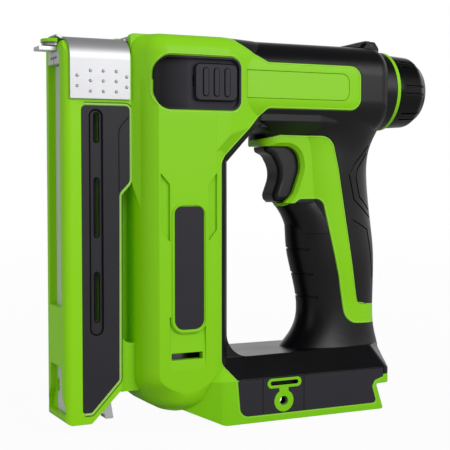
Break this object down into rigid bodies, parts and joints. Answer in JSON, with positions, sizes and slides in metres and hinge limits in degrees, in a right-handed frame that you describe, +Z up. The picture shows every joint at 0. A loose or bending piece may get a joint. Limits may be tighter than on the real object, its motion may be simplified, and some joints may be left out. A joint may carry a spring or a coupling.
{
  "type": "cordless stapler",
  "caption": "Cordless stapler with a motor column, a sprung hammer in a barrel, a bottom-loading staple magazine, a sliding trigger and a foot for a slide-on battery.",
  "frame": {"origin": "middle of the bounding box, at the underside of the battery foot", "axes": "+Z up, -X the way the staples leave, the casing halves meet at Y = 0"},
  "size_m": [0.242, 0.066, 0.2202],
  "materials": {
    "green_plastic": "satin moulded bright green plastic",
    "dark_plastic": "fine textured dark grey plastic",
    "soft_grip": "matt soft black overmoulding",
    "trigger_plastic": "satin dark grey plastic",
    "cover_steel": "brushed bright sheet steel",
    "rail_steel": "rolled sheet steel",
    "tool_steel": "ground hardened steel",
    "screw_steel": "black oxide steel",
    "spring_steel": "drawn spring wire",
    "gear_steel": "cut gear steel",
    "magnet": "sintered ferrite",
    "copper": "bare copper alloy",
    "board": "green coated circuit board",
    "wire": "insulated stranded wire",
    "bumper_rubber": "moulded polyurethane",
    "lens": "frosted clear plastic"
  },
  "bodies": {
    "casing": {"badge_panels": "green_plastic", "battery_foot": "green_plastic", "bumper": "bumper_rubber", "control_board": "board", "cover_hinge_pin": "screw_steel", "dial_collar": "green_plastic", "gearbox_cover": "dark_plastic", "hook_inserts": "gear_steel", "housing_screws": "screw_steel", "label_plates": "dark_plastic", "latch_pin": "screw_steel", "led_hood": "rail_steel", "led_lens": "lens", "left_foot_panel": "dark_plastic", "left_housing": "green_plastic", "left_magazine_panel": "dark_plastic", "left_overmould": "soft_grip", "lever_bracket": "dark_plastic", "lever_pin": "screw_steel", "magazine_body": "green_plastic", "mode_switch": "dark_plastic", "motor_can": "rail_steel", "motor_magnets": "magnet", "nose_block": "tool_steel", "output_bearing": "gear_steel", "right_foot_panel": "dark_plastic", "right_housing": "green_plastic", "right_magazine_panel": "dark_plastic", "right_overmould": "soft_grip", "ring_gear": "gear_steel", "terminal_blades": "copper", "terminal_block": "dark_plastic", "trigger_switch": "dark_plastic", "well_liner": "dark_plastic", "wire_leads": "wire"},
    "trigger": {"trigger": "trigger_plastic", "trigger_spring": "spring_steel"},
    "lock_lever": {"lock_lever": "dark_plastic"},
    "mode_slider": {"mode_slider": "dark_plastic"},
    "power_dial": {"power_dial": "dark_plastic", "adjuster_screw": "spring_steel"},
    "spring_seat": {"spring_seat": "dark_plastic"},
    "hammer": {"hammer": "tool_steel", "drive_rack": "tool_steel", "driver_blade": "tool_steel", "power_spring": "spring_steel"},
    "lifter": {"planet_carrier": "gear_steel", "lifter_pinion": "gear_steel"},
    "rotor": {"motor_rotor": "gear_steel"},
    "planet_1": {"planet_gear_1": "gear_steel"},
    "planet_2": {"planet_gear_2": "gear_steel"},
    "planet_3": {"planet_gear_3": "gear_steel"},
    "jam_cover": {"jam_cover": "cover_steel"},
    "contact_tip": {"contact_tip": "tool_steel", "tip_spring": "spring_steel"},
    "magazine_rail": {"magazine_rail": "rail_steel"},
    "pusher": {"pusher": "dark_plastic", "pusher_spring": "spring_steel"},
    "rail_latch": {"rail_latch": "rail_steel"}
  },
  "joints": [
    {"name": "trigger_pull", "type": "slide", "parent": "casing", "child": "trigger", "axis": [1, 0, 0], "range_m": [0, 0.006], "stiffness_N_per_m": 800, "springref_m": -0.004, "deforming": ["trigger_spring"]},
    {"name": "lever_flip", "type": "hinge", "parent": "casing", "child": "lock_lever", "pos_m": [0.086, 0, 0.2172], "axis": [0, 1, 0], "range_deg": [0, 50]},
    {"name": "slider_shift", "type": "slide", "parent": "casing", "child": "mode_slider", "axis": [-1, 0, 0], "range_m": [0, 0.01]},
    {"name": "dial_turn", "type": "hinge", "parent": "casing", "child": "power_dial", "pos_m": [0.105, 0, 0.19], "axis": [1, 0, 0], "range_deg": [0, 270.01]},
    {"name": "seat_shift", "type": "slide", "parent": "casing", "child": "spring_seat", "axis": [-1, 0, 0], "range_m": [0, 0.008]},
    {"name": "lifter_turn", "type": "hinge", "parent": "casing", "child": "lifter", "pos_m": [-0.046, 0, 0.14], "axis": [0, 0, -1], "range_deg": [0, 127.42]},
    {"name": "hammer_draw", "type": "slide", "parent": "casing", "child": "hammer", "axis": [1, 0, 0], "range_m": [0, 0.02], "deforming": ["power_spring"]},
    {"name": "rotor_spin", "type": "hinge", "parent": "casing", "child": "rotor", "pos_m": [-0.046, 0, 0.065], "axis": [0, 0, -1], "range_deg": [0, 509.4]},
    {"name": "cover_open", "type": "hinge", "parent": "casing", "child": "jam_cover", "pos_m": [-0.0695, 0, 0.213], "axis": [0, 1, 0], "range_deg": [0, 75]},
    {"name": "tip_press", "type": "slide", "parent": "casing", "child": "contact_tip", "axis": [1, 0, 0], "range_m": [0, 0.006], "stiffness_N_per_m": 300, "springref_m": -0.003, "deforming": ["tip_spring"]},
    {"name": "rail_pull", "type": "slide", "parent": "casing", "child": "magazine_rail", "axis": [0, 0, -1], "range_m": [0, 0.1]},
    {"name": "pusher_travel", "type": "slide", "parent": "magazine_rail", "child": "pusher", "axis": [0, 0, -1], "range_m": [0, 0.15], "deforming": ["pusher_spring"]},
    {"name": "latch_swing", "type": "hinge", "parent": "casing", "child": "rail_latch", "pos_m": [-0.0855, 0, 0.027], "axis": [0, -1, 0], "range_deg": [0, 12], "stiffness_Nm_per_rad": 0.2, "springref_deg": -5.73},
    {"name": "planet_1_spin", "type": "hinge", "parent": "lifter", "child": "planet_1", "pos_m": [-0.0358, 0, 0.102], "axis": [0, 0, -1], "range_deg": [-382.07, 0]},
    {"name": "planet_2_spin", "type": "hinge", "parent": "lifter", "child": "planet_2", "pos_m": [-0.0511, 0.00883, 0.102], "axis": [0, 0, -1], "range_deg": [-382.07, 0]},
    {"name": "planet_3_spin", "type": "hinge", "parent": "lifter", "child": "planet_3", "pos_m": [-0.0511, -0.00883, 0.102], "axis": [0, 0, -1], "range_deg": [-382.07, 0]}
  ],
  "couplings": [
    {"joint": "dial_turn", "follows": "seat_shift", "rad_per_m": 589.05},
    {"joint": "lifter_turn", "follows": "hammer_draw", "rad_per_m": 111.11},
    {"joint": "rotor_spin", "follows": "hammer_draw", "rad_per_m": 444.44},
    {"joint": "planet_1_spin", "follows": "hammer_draw", "rad_per_m": -333.33},
    {"joint": "planet_2_spin", "follows": "hammer_draw", "rad_per_m": -333.33},
    {"joint": "planet_3_spin", "follows": "hammer_draw", "rad_per_m": -333.33}
  ]
}
